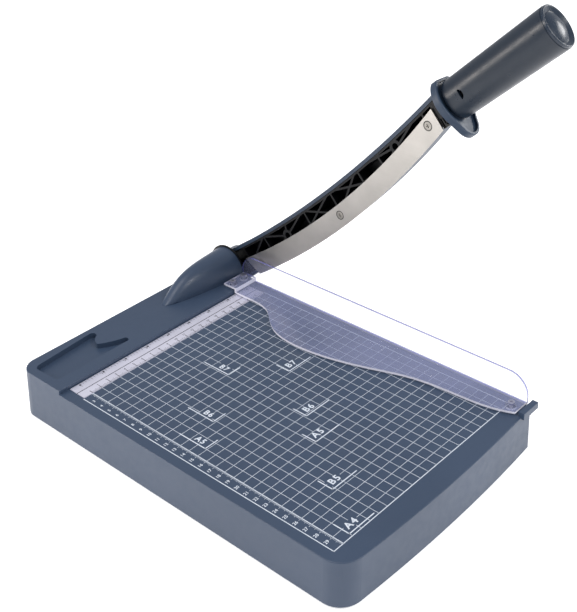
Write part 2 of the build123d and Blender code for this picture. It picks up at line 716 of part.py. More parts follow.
with BuildPart() as arm_core:
    extrude(core_plan, amount=CORE_DEPTH)
    extrude(core_window, amount=CORE_DEPTH, mode=Mode.SUBTRACT)
    extrude(core_plan, amount=WEB_T)
    add(lattice.part)
    # screw bosses reach the blade
    with BuildSketch(arm_plane(CORE_OUT)):
        with Locations(*BLADE_SCREWS):
            Circle(SCREW_BOSS_R - 1.5)
    extrude(amount=CORE_OUT - ARM_IN)
    # solid end block beyond the blade's square end, with two upright grooves
    with BuildSketch(arm_plane(ARM_OUT - 0.2)):
        with BuildLine():
            Polyline(
                (BLOCK_START - 0.1, 4.4),
                (BLOCK_START - 0.1, RIM_TIP_LOW - 0.2),
                (ARM_END, RIM_TIP_LOW - 0.2),
                (ARM_END, 9.0),
                (343, 4.4),
                close=True,
            )
        make_face()
    extrude(amount=ARM_OUT - 0.2 - ARM_IN)
    with BuildSketch(arm_plane(ARM_IN + 3)):
        with Locations((341.6, 14), (344.2, 14)):
            Rectangle(1.2, 40)
    extrude(amount=3, mode=Mode.SUBTRACT)
    # neck, stem root and a finned stem
    add(neck.part)
    with BuildSketch(HANDLE.offset(-FLANGE_T)):
        Circle(STEM_R)
    extrude(amount=FLANGE_T + 0.2)
    with BuildSketch(HANDLE):
        Circle(STEM_SHAFT_R)
        Rectangle(2 * STEM_FIN, 2.4)
        Rectangle(2.4, 2 * STEM_FIN)
    extrude(amount=STEM_END)
    with BuildSketch(HANDLE.offset(STEM_END)):
        Circle(2.5)
    extrude(amount=-18, mode=Mode.SUBTRACT)
    # bore for the bush and seats for the brass inserts
    with BuildSketch(arm_plane(ARM_OUT)):
        Circle(BUSH_R)
    extrude(amount=ARM_OUT - ARM_IN, mode=Mode.SUBTRACT)
    with BuildSketch(arm_plane(ARM_IN + 12)):
        with Locations(*BLADE_SCREWS):
            Circle(INSERT_R)
    extrude(amount=12, mode=Mode.SUBTRACT)

arm_core.part.label = "arm_core"
export_step(arm_core.part, "parts/arm_core.step")

with BuildPart() as cutting_blade:
    with BuildSketch(arm_plane(ARM_IN)):
        with BuildLine():
            back = [(a, arc_height(BLADE_BACK_CENTRE, BLADE_BACK_R, a)) for a in (36.8, 190, BLADE_END)]
            edge = [(a, arc_height(KEEL_CENTRE, EDGE_CURVE_R, a)) for a in (BLADE_END, 190, 44)]
            ThreePointArc(*back)
            Line(back[-1], edge[0])
            ThreePointArc(*edge)
            Line(edge[-1], back[0])
        make_face()
    extrude(amount=BLADE_T)
    ground = cutting_blade.edges().filter_by(lambda e: e.length > 250)
    outer_ground = ground.sort_by(Axis.X)[-2:].sort_by(lambda e: (e @ 0.5).Z)[0]
    chamfer(outer_ground, 1.3, 3.5)
    with Locations(*spots(arm_plane(ARM_IN), BLADE_SCREWS)):
        Cone(SCREW_R, SCREW_HEAD_R, BLADE_T, align=BOTTOM, mode=Mode.SUBTRACT)

cutting_blade.part.label = "cutting_blade"
export_step(cutting_blade.part, "parts/cutting_blade.step")

with BuildPart() as blade_screws:
    with Locations(*spots(arm_plane(ARM_IN), BLADE_SCREWS)):
        Cone(SCREW_R, SCREW_HEAD_R, BLADE_T, align=BOTTOM)
        Cylinder(SCREW_R, 10, align=TOP)
    with Locations(*spots(arm_plane(BLADE_X), BLADE_SCREWS)):
        Box(3.6, 0.8, 1.0, align=TOP, mode=Mode.SUBTRACT)
        Box(0.8, 3.6, 1.0, align=TOP, mode=Mode.SUBTRACT)

blade_screws.part.label = "blade_screws"
export_step(blade_screws.part, "parts/blade_screws.step")

with BuildPart() as blade_inserts:
    with BuildSketch(arm_plane(ARM_IN + 12)):
        with Locations(*BLADE_SCREWS):
            Circle(INSERT_R)
            Circle(SCREW_R, mode=Mode.SUBTRACT)
    extrude(amount=10)

blade_inserts.part.label = "blade_inserts"
export_step(blade_inserts.part, "parts/blade_inserts.step")

# ---------------------------------------------------------------- handle

FLANGE_TOP = 19.5
FLANGE_HALF = 21.5
LOBE_R = 14.0
LOBE_LOW = -30.4
FLANGE_LIP = 2.2
DISH_DEPTH = 2.6


def flange_plan(lip):
    """Outline of the finger guard, or of the dish inside its lip: a disc with a flat top and a lower lobe."""
    with BuildSketch(HANDLE) as outline:
        with BuildLine():
            CenterArc((0, 0), FLANGE_HALF - lip, 0, 360)
            CenterArc((LOBE_LOW + LOBE_R, 0), LOBE_R - lip, 0, 360)
        make_hull()
        with Locations((FLANGE_TOP - lip + 10, 0)):
            Rectangle(20, 60, mode=Mode.SUBTRACT)
        fillet(outline.vertices().filter_by(lambda v: v.X > 0), 6 - lip)
    return outline.sketch


with BuildPart() as finger_guard:
    extrude(flange_plan(0), amount=-FLANGE_T)
    fillet(finger_guard.edges(), 1.0)
    extrude(flange_plan(FLANGE_LIP), amount=-DISH_DEPTH, mode=Mode.SUBTRACT)
    with BuildSketch(HANDLE.offset(-FLANGE_T)):
        Circle(STEM_R)
    extrude(amount=FLANGE_T, mode=Mode.SUBTRACT)

finger_guard.part.label = "finger_guard"
export_step(finger_guard.part, "parts/finger_guard.step")

CAP_START = 96.2
CAP_GAP = 0.5
SLOT_AT = 13.6
SLOT_TURN = 91.0
SEAT_T = 3.0
SEAT_AT = 81.9


def handle_radius(at):
    """Outside radius of the grip at a distance along the handle."""
    return HANDLE_R0 + (HANDLE_R1 - HANDLE_R0) * at / HANDLE_L


SLOT_DIR = HANDLE_LIFT * cos(radians(SLOT_TURN)) + HANDLE.y_dir * sin(radians(SLOT_TURN))
SLOT_PLANE = Plane(
    origin=HANDLE_ORIGIN + HANDLE_DIR * SLOT_AT + SLOT_DIR * (HANDLE_R0 + 3),
    x_dir=HANDLE_DIR,
    z_dir=SLOT_DIR,
)

with BuildPart() as handle_sleeve:
    with BuildSketch(Plane(origin=HANDLE_ORIGIN, x_dir=HANDLE_DIR, z_dir=HANDLE.y_dir)):
        with BuildLine():
            Polyline(
                (0.2, GRIP_BORE),
                (0.2, handle_radius(0) - 0.8),
                (1.0, handle_radius(1)),
                (CAP_START, handle_radius(CAP_START)),
                (CAP_START, GRIP_BORE),
                (SEAT_AT + SEAT_T, GRIP_BORE),
                (SEAT_AT + SEAT_T, 3.2),
                (SEAT_AT, 3.2),
                (SEAT_AT, GRIP_BORE),
                close=True,
            )
        make_face()
    revolve(axis=Axis(HANDLE_ORIGIN, HANDLE_DIR))
    # half-moon window for the latch
    with BuildSketch(SLOT_PLANE):
        with BuildLine():
            ThreePointArc((0, -4.1), (3.3, 0), (0, 4.1))
            Line((0, 4.1), (0, -4.1))
        make_face()
    extrude(amount=-7, mode=Mode.SUBTRACT)

handle_sleeve.part.label = "handle_sleeve"
export_step(handle_sleeve.part, "parts/handle_sleeve.step")

with BuildPart() as handle_end_cap:
    with BuildSketch(Plane(origin=HANDLE_ORIGIN, x_dir=HANDLE_DIR, z_dir=HANDLE.y_dir)):
        with BuildLine():
            rim = handle_radius(CAP_START) - CAP_GAP
            Polyline((100.2, 0.4), (100.2, 0), (90, 0), (90, GRIP_BORE), (CAP_START, GRIP_BORE))
            Polyline((CAP_START, GRIP_BORE), (CAP_START, rim), (98.2, rim))
            ThreePointArc((98.2, rim), (98.8, rim - 0.6), (98.4, rim - 1.6))
            Line((98.4, rim - 1.6), (96.9, 13.0))
            ThreePointArc((96.9, 13.0), (99.2, 7.4), (100.2, 0.4))
        make_face()
    revolve(axis=Axis(HANDLE_ORIGIN, HANDLE_DIR))

handle_end_cap.part.label = "handle_end_cap"
export_step(handle_end_cap.part, "parts/handle_end_cap.step")

with BuildPart() as handle_screw:
    with BuildSketch(HANDLE.offset(SEAT_AT + SEAT_T)):
        Circle(5.5)
    extrude(amount=3)
    with BuildSketch(HANDLE.offset(STEM_END - 18)):
        Circle(2.5)
    extrude(amount=SEAT_AT + SEAT_T - STEM_END + 18)

handle_screw.part.label = "handle_screw"
export_step(handle_screw.part, "parts/handle_screw.step")
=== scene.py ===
from math import ceil, cos, pi, radians, sin

import bmesh
import bpy
from mathutils import Euler, Matrix, Vector


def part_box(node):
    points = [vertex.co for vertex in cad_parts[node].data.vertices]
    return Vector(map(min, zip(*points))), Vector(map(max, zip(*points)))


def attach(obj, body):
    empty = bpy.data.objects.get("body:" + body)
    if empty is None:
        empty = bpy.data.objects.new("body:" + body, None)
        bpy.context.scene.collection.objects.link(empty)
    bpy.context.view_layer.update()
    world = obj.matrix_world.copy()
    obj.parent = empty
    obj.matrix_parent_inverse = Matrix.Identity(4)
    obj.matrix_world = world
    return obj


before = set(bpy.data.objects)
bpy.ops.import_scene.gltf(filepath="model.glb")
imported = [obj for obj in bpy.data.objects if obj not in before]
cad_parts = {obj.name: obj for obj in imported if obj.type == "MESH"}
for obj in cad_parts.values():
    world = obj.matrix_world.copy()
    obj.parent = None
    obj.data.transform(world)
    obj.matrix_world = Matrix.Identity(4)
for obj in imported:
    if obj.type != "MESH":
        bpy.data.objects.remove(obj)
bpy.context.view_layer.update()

MM = 0.001
ARM_TURN = radians(40.85)  # how far the arm stands above the table at rest

# The table's coordinates: x across from the printed ruler line, y along from the paper stop (negative to the
# user), z up from the table's surface, all in millimetres. The ruler strip's box says where they start.
STRIP_LOW, STRIP_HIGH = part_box("ruler_strip")
STRIP_OVERHANG = 9.3  # to the left of the ruler line
STRIP_CLEARANCE = 1.0  # in front of the paper stop
ZERO = Vector((STRIP_LOW.x + STRIP_OVERHANG * MM, STRIP_HIGH.y + STRIP_CLEARANCE * MM, STRIP_LOW.z))


def table(x, y, z=0.0):
    """A point in table coordinates, as a point in the shared frame in metres."""
    return ZERO + Vector((x, y, z)) * MM


# ---------------------------------------------------------------- node materials


def srgb(code):
    """Linear colour of a hexadecimal screen colour."""
    parts = [int(code[i : i + 2], 16) / 255 for i in (0, 2, 4)]
    return [p / 12.92 if p <= 0.04045 else ((p + 0.055) / 1.055) ** 2.4 for p in parts]


class Surface:
    """A Principled material with helpers for its procedural detail."""

    def __init__(self, name, color, rough, metallic=0.0, ior=1.5):
        self.material = bpy.data.materials.new(name)
        self.material.use_nodes = True
        self.tree = self.material.node_tree
        self.shader = self.tree.nodes["Principled BSDF"]
        self.color = color
        self.shader.inputs["Base Color"].default_value = (*color, 1)
        self.shader.inputs["Roughness"].default_value = rough
        self.shader.inputs["Metallic"].default_value = metallic
        self.shader.inputs["IOR"].default_value = ior
        self.place = self.node("ShaderNodeTexCoord").outputs["Object"]
        self.last_normal = None

    def node(self, kind, **values):
        made = self.tree.nodes.new(kind)
        for name, value in values.items():
            setattr(made, name, value)
        return made

    def link(self, a, b):
        self.tree.links.new(a, b)

    def stretched(self, scale, turn=(0, 0, 0)):
        """Object coordinates, scaled and then turned."""
        mapping = self.node("ShaderNodeMapping")
        mapping.inputs["Scale"].default_value = scale
        mapping.inputs["Rotation"].default_value = turn
        self.link(self.place, mapping.inputs["Vector"])
        return mapping.outputs["Vector"]

    def noise(self, scale, detail=2.0, vector=None, roughness=0.5):
        made = self.node("ShaderNodeTexNoise")
        made.inputs["Scale"].default_value = scale
        made.inputs["Detail"].default_value = detail
        made.inputs["Roughness"].default_value = roughness
        self.link(vector or self.place, made.inputs["Vector"])
        return made.outputs["Fac"]

    def spread(self, value, low, high, start=0.3, end=0.7):
        """A 0 to 1 value moved to run from low to high."""
        made = self.node("ShaderNodeMapRange")
        made.inputs["From Min"].default_value = start
        made.inputs["From Max"].default_value = end
        made.inputs["To Min"].default_value = low
        made.inputs["To Max"].default_value = high
        self.link(value, made.inputs["Value"])
        return made.outputs["Result"]

    def tint(self, value, other):
        """Base colour that runs from this material's own to another one."""
        made = self.node("ShaderNodeMix", data_type="RGBA")
        self.link(value, made.inputs[0])
        made.inputs[6].default_value = (*self.color, 1)
        made.inputs[7].default_value = (*other, 1)
        self.link(made.outputs[2], self.shader.inputs["Base Color"])
        return made.outputs[2]

    def roughen(self, value, low, high):
        self.link(self.spread(value, low, high), self.shader.inputs["Roughness"])

    def bump(self, value, depth, strength=1.0):
        made = self.node("ShaderNodeBump")
        made.inputs["Strength"].default_value = strength
        made.inputs["Distance"].default_value = depth
        self.link(value, made.inputs["Height"])
        if self.last_normal:
            self.link(self.last_normal, made.inputs["Normal"])
        self.last_normal = made.outputs["Normal"]
        self.link(self.last_normal, self.shader.inputs["Normal"])


# Depths of bumps, in metres
GRAIN_DEPTH = 0.00003
FLOW_DEPTH = 0.00006
SCRATCH_DEPTH = 0.00001
RUBBER_DEPTH = 0.00008
RIPPLE_DEPTH = 0.00012

# How much lighter or darker the cloudy patches of a material are
STAINED_STEEL = 0.86
TARNISHED_METAL = 0.8
DUSTY_RUBBER = 1.6


def moulded_plastic(name, code, rough, grain=1.0, worn=1.12):
    """Injection-moulded plastic: fine spark-eroded grain, faint flow marks and slightly uneven gloss."""
    color = srgb(code)
    made = Surface(name, color, rough)
    clouds = made.noise(9.0, 3.0)
    made.tint(made.spread(clouds, 0, 1), [c * worn for c in color])
    made.roughen(made.noise(140.0, 3.0), rough - 0.05, rough + 0.06)
    made.bump(made.noise(2200.0, 2.0), GRAIN_DEPTH * grain, 0.5)
    made.bump(made.noise(45.0, 2.0), FLOW_DEPTH, 0.25)
    return made


def satin_steel(name, code, rough, turn=(0, 0, 0), along=18.0, across=2600.0):
    """Ground steel: long fine scratches, with cloudy stains.

    The scales are how fine the noise is along y and across it. The turn comes after them, so it moves the
    pattern and the scratches still run level.
    """
    color = srgb(code)
    made = Surface(name, color, rough, metallic=1.0)
    scratches = made.noise(1.0, 4.0, made.stretched((across, along, across), turn), 0.65)
    clouds = made.noise(38.0, 4.0)
    made.tint(made.spread(clouds, 0, 1), [c * STAINED_STEEL for c in color])
    made.roughen(scratches, rough - 0.08, rough + 0.10)
    made.bump(scratches, SCRATCH_DEPTH, 0.35)
    return made


def turned_metal(name, code, rough):
    """Small plated or turned metal pieces with a fine, uneven surface."""
    color = srgb(code)
    made = Surface(name, color, rough, metallic=1.0)
    made.tint(made.spread(made.noise(260.0, 3.0), 0, 1), [c * TARNISHED_METAL for c in color])
    made.roughen(made.noise(700.0, 3.0), rough - 0.07, rough + 0.1)
    made.bump(made.noise(1500.0, 2.0), SCRATCH_DEPTH, 0.3)
    return made


def soft_rubber(name, code):
    """Matt rubber with a fine, dusty grain."""
    color = srgb(code)
    made = Surface(name, color, 0.8)
    made.tint(made.spread(made.noise(160.0, 4.0), 0, 1), [c * DUSTY_RUBBER for c in color])
    made.roughen(made.noise(90.0, 3.0), 0.7, 0.92)
    made.bump(made.noise(900.0, 3.0), RUBBER_DEPTH, 0.6)
    return made


SHELL = moulded_plastic("shell_plastic", "35445A", 0.36)
ARM = moulded_plastic("arm_plastic", "27374B", 0.42)
GRIP = moulded_plastic("grip_plastic", "17222F", 0.32, grain=0.75)
CAP = moulded_plastic("cap_plastic", "182636", 0.26, grain=0.5)
BLACK = moulded_plastic("black_plastic", "050609", 0.42, worn=1.4)
BLACK.shader.inputs["Specular IOR Level"].default_value = 0.3
BLADE = satin_steel("blade_steel", "BBB8B3", 0.38, turn=(ARM_TURN, 0, 0))
COUNTER = satin_steel("counter_blade_steel", "B8B8BA", 0.30)
ZINC = turned_metal("fastener_steel", "A9A9AB", 0.32)
SCREW = turned_metal("blade_screw_steel", "A5A29C", 0.45)
PALE_SCREW = turned_metal("guard_screw_steel", "D4D4E2", 0.35)
BRASS = turned_metal("bush_brass", "C29A52", 0.34)
RUBBER = soft_rubber("rubber", "17181A")
NYLON = moulded_plastic("nylon", "CFCBC0", 0.5)

STRIP = satin_steel("ruler_aluminium", "E2E2F2", 0.40, along=2600.0, across=30.0)
STRIP.shader.inputs["Metallic"].default_value = 0.45

# The clear guard: the table x where its fence begins, the least part of a face's normal that makes the face
# count as flat, and how much of the light each part stops. The cut edges stop nearly all of it, so that the
# painted highlight on the plate's edges and the painted shade on the fence's edges show.
FENCE_START = 216.55
FLAT_NORMAL = 0.7
PLATE_HAZE = (0.16, 0.36)
FENCE_HAZE = 0.10
PLATE_EDGE_HIGHLIGHT_OPACITY = 0.9
FENCE_EDGE_SHADE_OPACITY = 0.8


def guard_material():
    """Clear lilac plastic with painted light on its cut edges. The upright fence is clearer than the plate.
    """
    made = Surface("clear_plastic", srgb("A0A7CC"), 0.06, ior=1.49)
    normal = made.node("ShaderNodeSeparateXYZ")
    made.link(made.node("ShaderNodeNewGeometry").outputs["True Normal"], normal.inputs[0])
    place = made.node("ShaderNodeSeparateXYZ")
    made.link(made.node("ShaderNodeNewGeometry").outputs["Position"], place.inputs[0])

    def math(operation, first, second=0.0):
        """One sum or comparison of numbers or of other nodes' values."""
        step = made.node("ShaderNodeMath", operation=operation)
        for socket, value in zip(step.inputs, (first, second)):
            if isinstance(value, (int, float)):
                socket.default_value = value
            else:
                made.link(value, socket)
        return step.outputs[0]

    def blend(factor, low, high):
        """The low value where the factor is 0 and the high one where it is 1."""
        rest = math("SUBTRACT", 1.0, factor)
        return math("ADD", math("MULTIPLY", rest, low), math("MULTIPLY", factor, high))

    fence = math("GREATER_THAN", place.outputs["X"], table(FENCE_START, 0).x)
    plate_edge = math("LESS_THAN", math("ABSOLUTE", normal.outputs["Z"]), FLAT_NORMAL)
    fence_edge = math("LESS_THAN", math("ABSOLUTE", normal.outputs["X"]), FLAT_NORMAL)
    edge = blend(fence, plate_edge, fence_edge)
    # Painted highlight: the plate's cut edges are tinted near white
    lit = made.tint(math("MULTIPLY", edge, math("SUBTRACT", 1.0, fence)), srgb("F2F2FF"))
    # Painted shade: the fence's cut edges are tinted dark lilac
    shade = made.node("ShaderNodeMix", data_type="RGBA")
    made.link(math("MULTIPLY", edge, fence), shade.inputs[0])
    made.link(lit, shade.inputs[6])
    shade.inputs[7].default_value = (*srgb("6468AC"), 1)
    made.link(shade.outputs[2], made.shader.inputs["Base Color"])
    flat_haze = blend(fence, made.spread(made.noise(11.0, 1.0), *PLATE_HAZE), FENCE_HAZE)
    # The cut edges are nearly opaque so that their painted highlight and painted shade show
    painted_edge_opacity = blend(fence, PLATE_EDGE_HIGHLIGHT_OPACITY, FENCE_EDGE_SHADE_OPACITY)
    made.link(blend(edge, flat_haze, painted_edge_opacity), made.shader.inputs["Alpha"])
    made.roughen(made.noise(420.0, 4.0), 0.03, 0.12)
    made.bump(made.noise(24.0, 2.0), RIPPLE_DEPTH, 0.25)
    return made


GUARD = guard_material()

NODE_SURFACES = {
    "base_shell": SHELL,
    "pivot_housing": SHELL,
    "housing_seal": BLACK,
    "arm_shell": ARM,
    "arm_core": BLACK,
    "finger_guard": ARM,
    "handle_sleeve": GRIP,
    "handle_end_cap": CAP,
    "handle_screw": ZINC,
    "clear_guard": GUARD,
    "guard_screws": PALE_SCREW,
    "ruler_strip": STRIP,
    "cutting_blade": BLADE,
    "blade_screws": SCREW,
    "blade_inserts": BRASS,
    "counter_blade": COUNTER,
    "counter_blade_screws": ZINC,
    "counter_blade_nuts": ZINC,
    "pivot_bracket": ZINC,
    "bracket_screws": ZINC,
    "pivot_bolt": ZINC,
    "pivot_washers": ZINC,
    "disc_springs": ZINC,
    "lock_nut": ZINC,
    "pivot_bush": BRASS,
    "thrust_washer": NYLON,
    "rubber_feet": RUBBER,
}

for node_name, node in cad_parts.items():
    node.data.materials.clear()
    node.data.materials.append(NODE_SURFACES[node_name].material)

# Small rounds on plastic and metal edges, in millimetres
EDGE_ROUNDS = {
    "arm_shell": 0.7,
    "arm_core": 0.25,
    "pivot_housing": 0.4,
    "clear_guard": 0.5,
    "pivot_bolt": 0.3,
    "lock_nut": 0.3,
    "pivot_washers": 0.2,
}
MERGE_ANGLE = radians(0.5)
SHARP_ANGLE = radians(38)

for node_name, width in EDGE_ROUNDS.items():
    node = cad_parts[node_name]
    flat = node.modifiers.new("merge_flats", "DECIMATE")
    flat.decimate_type = "DISSOLVE"
    flat.angle_limit = MERGE_ANGLE
    rounding = node.modifiers.new("edge_round", "BEVEL")
    rounding.width = width * MM
    rounding.segments = 2
    rounding.limit_method = "ANGLE"
    rounding.angle_limit = SHARP_ANGLE
    rounding.harden_normals = True


# ---------------------------------------------------------------- print on the table

INK = Surface("table_ink", srgb("D9E0EA"), 0.5)
INK.tint(INK.spread(INK.noise(300.0, 3.0), 0, 1), srgb("C6CFDB"))
INK.roughen(INK.noise(120.0, 2.0), 0.4, 0.6)

INK_LOW = -0.03
INK_HIGH = 0.05
MARK_RISE = 0.01
CAPITAL_HEIGHT = 0.7  # of the font's size


def drawn(name, shape, surface):
    """A scene object made from a drawn shape, with one surface."""
    mesh = bpy.data.meshes.new(name)
    shape.to_mesh(mesh)
    shape.free()
    mesh.materials.append(surface.material)
    made = bpy.data.objects.new(name, mesh)
    bpy.context.scene.collection.objects.link(made)
    return made


def bars(name, rectangles, surface, low=INK_LOW, high=INK_HIGH):
    """One object of thin bars, each given as its x and y limits in table coordinates."""
    shape = bmesh.new()
    for x0, y0, x1, y1 in rectangles:
        size = Vector((x1 - x0, y1 - y0, high - low)) * MM
        middle = table((x0 + x1) / 2, (y0 + y1) / 2, (low + high) / 2)
        bmesh.ops.create_cube(shape, size=1.0, matrix=Matrix.LocRotScale(middle, None, size))
    made = drawn(name, shape, surface)
    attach(made, "base")
    return made


def lettering(name, items, surface, low=INK_LOW, high=INK_HIGH, bold=0.0):
    """One object of figures. Each item is its text, centre x and y, height, turn in degrees and spacing."""
    shape = bmesh.new()
    for text, x, y, height, turn, spacing in items:
        curve = bpy.data.curves.new("figure", "FONT")
        curve.body = text
        curve.align_x = "CENTER"
        curve.align_y = "CENTER"
        curve.size = height * MM / CAPITAL_HEIGHT
        curve.space_character = spacing
        curve.offset = bold * MM
        curve.extrude = (high - low) / 2 * MM
        curve.resolution_u = 3
        holder = bpy.data.objects.new("figure", curve)
        mesh = bpy.data.meshes.new_from_object(holder)
        centre = table(x, y, (high + low) / 2)
        mesh.transform(Matrix.LocRotScale(centre, Euler((0, 0, radians(turn))), None))
        shape.from_mesh(mesh)
        bpy.data.meshes.remove(mesh)
        bpy.data.objects.remove(holder)
        bpy.data.curves.remove(curve)
    made = drawn(name, shape, surface)
    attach(made, "base")
    return made


GRID_STEP = 10
GRID_RIGHT = 210
GRID_FRONT = -300
GRID_BACK = -20.5
FRAME_LEFT = -10.3

# Widths of the printed lines
LINE = 0.36
HEAVY = 0.75
MARK = 0.95
RULER_TICK = 0.26

# Lengths of ticks on whole units, on halves and elsewhere
RULER_REACHES = (3.2, 2.5, 1.7)
INCH_REACHES = (5.2, 3.8, 2.6)
CENTIMETRE_REACHES = (4.2, 3.2, 2.1)

# The two ways a paper-size mark is drawn: its legs, the way from its corner to the middle of its letters, the
# half sizes of the gap in the grid round the letters, and the letters' height and turn in degrees
UPRIGHT = {"legs": (28, 15), "text": (9.0, 6.0), "gap": (7.4, 3.9), "height": 6.2, "turn": 0}
SIDEWAYS = {"legs": (14, 30), "text": (4.9, 10.5), "gap": (3.4, 7.0), "height": 5.4, "turn": -90}
LETTER_SPACING = 1.25

# Paper-size marks: name, distance from the stop, distance from the ruler line and the way it is drawn
PAPER_MARKS = [
    ("A4", 297, 10, UPRIGHT),
    ("B5", 257, 38, UPRIGHT),
    ("A5", 210, 72, UPRIGHT),
    ("B6", 182, 92, UPRIGHT),
    ("B7", 128, 129, UPRIGHT),
    ("A5", 148, 10, SIDEWAYS),
    ("B6", 128, 38, SIDEWAYS),
    ("B7", 91, 92, SIDEWAYS),
]


def tick_reach(step, unit, reaches):
    """Length of a ruler's tick, with so many steps to the unit."""
    whole, half, other = reaches
    if step % unit == 0:
        return whole
    return half if step % (unit // 2) == 0 else other


def text_spot(along, across, layout):
    """Centre of a mark's letters."""
    right, back = layout["text"]
    return across + right, -along + back


def knocked_out():
    """Rectangles round the letters, where the grid isn't printed."""
    gaps = []
    for _, along, across, layout in PAPER_MARKS:
        x, y = text_spot(along, across, layout)
        half_x, half_y = layout["gap"]
        gaps.append((x - half_x, y - half_y, x + half_x, y + half_y))
    return gaps


GAPS = knocked_out()


def broken(start, end, blocks):
    """The stretches of a line from start to end that the blocks leave free."""
    free = []
    at = start
    for low, high in sorted(blocks):
        if low > at:
            free.append((at, min(low, end)))
        at = max(at, high)
    if at < end:
        free.append((at, end))
    return free


def grid_bars():
    """The grid's lines, broken round the letters."""
    rectangles = []
    for x in range(GRID_STEP, GRID_RIGHT, GRID_STEP):
        blocks = [(g[1], g[3]) for g in GAPS if g[0] < x < g[2]]
        for y0, y1 in broken(GRID_FRONT, GRID_BACK, blocks):
            rectangles.append((x - LINE / 2, y0, x + LINE / 2, y1))
    for y in range(GRID_FRONT + GRID_STEP, int(GRID_BACK), GRID_STEP):
        blocks = [(g[0], g[2]) for g in GAPS if g[1] < y < g[3]]
        for x0, x1 in broken(0, GRID_RIGHT, blocks):
            rectangles.append((x0, y - LINE / 2, x1, y + LINE / 2))
    return rectangles


def border_bars():
    """The frame round the grid and the ruler line with its millimetre ticks."""
    rectangles = [
        (FRAME_LEFT - HEAVY / 2, GRID_FRONT, FRAME_LEFT + HEAVY / 2, GRID_BACK),
        (FRAME_LEFT - HEAVY / 2, GRID_FRONT - HEAVY / 2, GRID_RIGHT + HEAVY / 2, GRID_FRONT + HEAVY / 2),
        (GRID_RIGHT - HEAVY / 2, GRID_FRONT, GRID_RIGHT + HEAVY / 2, GRID_BACK),
        (-HEAVY / 2, GRID_FRONT, HEAVY / 2, GRID_BACK),
    ]
    half = RULER_TICK / 2
    for step in range(ceil(-GRID_BACK), -GRID_FRONT):
        rectangles.append((-tick_reach(step, 10, RULER_REACHES), -step - half, 0, -step + half))
    return rectangles


def mark_bars():
    """The two legs of each paper-size mark."""
    rectangles = []
    half = MARK / 2
    for _, along, across, layout in PAPER_MARKS:
        leg_x, leg_y = layout["legs"]
        rectangles.append((across - half, -along - half, across + leg_x, -along + half))
        rectangles.append((across - half, -along - half, across + half, -along + leg_y))
    return rectangles


bars("printed_grid", grid_bars(), INK)
bars("printed_ruler_line", border_bars(), INK)
bars("printed_size_marks", mark_bars(), INK, high=INK_HIGH + MARK_RISE)

RULER_FIGURE_X = -6.6
RULER_FIGURE_HEIGHT = 2.9

size_letters = []
for text, along, across, layout in PAPER_MARKS:
    x, y = text_spot(along, across, layout)
    size_letters.append((text, x, y, layout["height"], layout["turn"], LETTER_SPACING))
lettering("printed_size_letters", size_letters, INK, bold=0.22)
ruler_figures = [(str(n), RULER_FIGURE_X, -10 * n, RULER_FIGURE_HEIGHT, 0, 1.0) for n in range(3, 30)]
lettering("printed_ruler_figures", ruler_figures, INK, bold=0.06)


# ---------------------------------------------------------------- marks on the metal strip, and painted shade in its groove

# Dark ink for the strip's printed marks, also used as painted shade on the groove's floor
DARK_INK_AND_SHADE = Surface("strip_ink_and_groove_shade", srgb("23242B"), 0.5)
DARK_INK_AND_SHADE.tint(DARK_INK_AND_SHADE.spread(DARK_INK_AND_SHADE.noise(400.0, 3.0), 0, 1), srgb("34353D"))
DARK_INK_AND_SHADE.roughen(DARK_INK_AND_SHADE.noise(120.0, 2.0), 0.4, 0.6)

STRIP_TOP = (STRIP_HIGH.z - ZERO.z) / MM
STRIP_LEFT, STRIP_RIGHT = [(end.x - ZERO.x) / MM for end in (STRIP_LOW, STRIP_HIGH)]
MARK_LOW = STRIP_TOP - 0.03
MARK_HIGH = STRIP_TOP + 0.03
INCH = 25.4
LAST_EIGHTH = 65
LAST_MILLIMETRE = 208
BACK_TICKS = -1.2  # where the ticks along each side of the strip start
FRONT_TICKS = -20.3
INCH_TICK_HALF = 0.12
CENTIMETRE_TICK_HALF = 0.3
MILLIMETRE_TICK_HALF = 0.1
DOT_HALF = 0.9
DOT_MIDDLE = -3.3
GROOVE = (-11.2, -10.3)
GROOVE_DEPTHS = (0.35, 0.28)
CENTIMETRE_FIGURE_Y = -14.6
CENTIMETRE_FIGURE_HEIGHT = 2.2
INCH_FIGURE_SHIFT = -2.2
INCH_FIGURE_Y = -4.4
INCH_FIGURE_HEIGHT = 2.4


def strip_ticks():
    """Eighths of an inch with a dot at each inch on the stop's side, millimetres on the table's side."""
    rectangles = []
    for eighth in range(LAST_EIGHTH + 1):
        x = eighth * INCH / 8
        reach = tick_reach(eighth, 8, INCH_REACHES)
        rectangles.append((x - INCH_TICK_HALF, BACK_TICKS - reach, x + INCH_TICK_HALF, BACK_TICKS))
        if eighth % 8 == 0:
            rectangles.append((x - DOT_HALF, DOT_MIDDLE - DOT_HALF, x + DOT_HALF, DOT_MIDDLE + DOT_HALF))
    for step in range(LAST_MILLIMETRE + 1):
        reach = tick_reach(step, 10, CENTIMETRE_REACHES)
        half = CENTIMETRE_TICK_HALF if step % 10 == 0 else MILLIMETRE_TICK_HALF
        rectangles.append((step - half, FRONT_TICKS, step + half, FRONT_TICKS + reach))
    return rectangles


bars("strip_ticks", strip_ticks(), DARK_INK_AND_SHADE, MARK_LOW, MARK_HIGH)
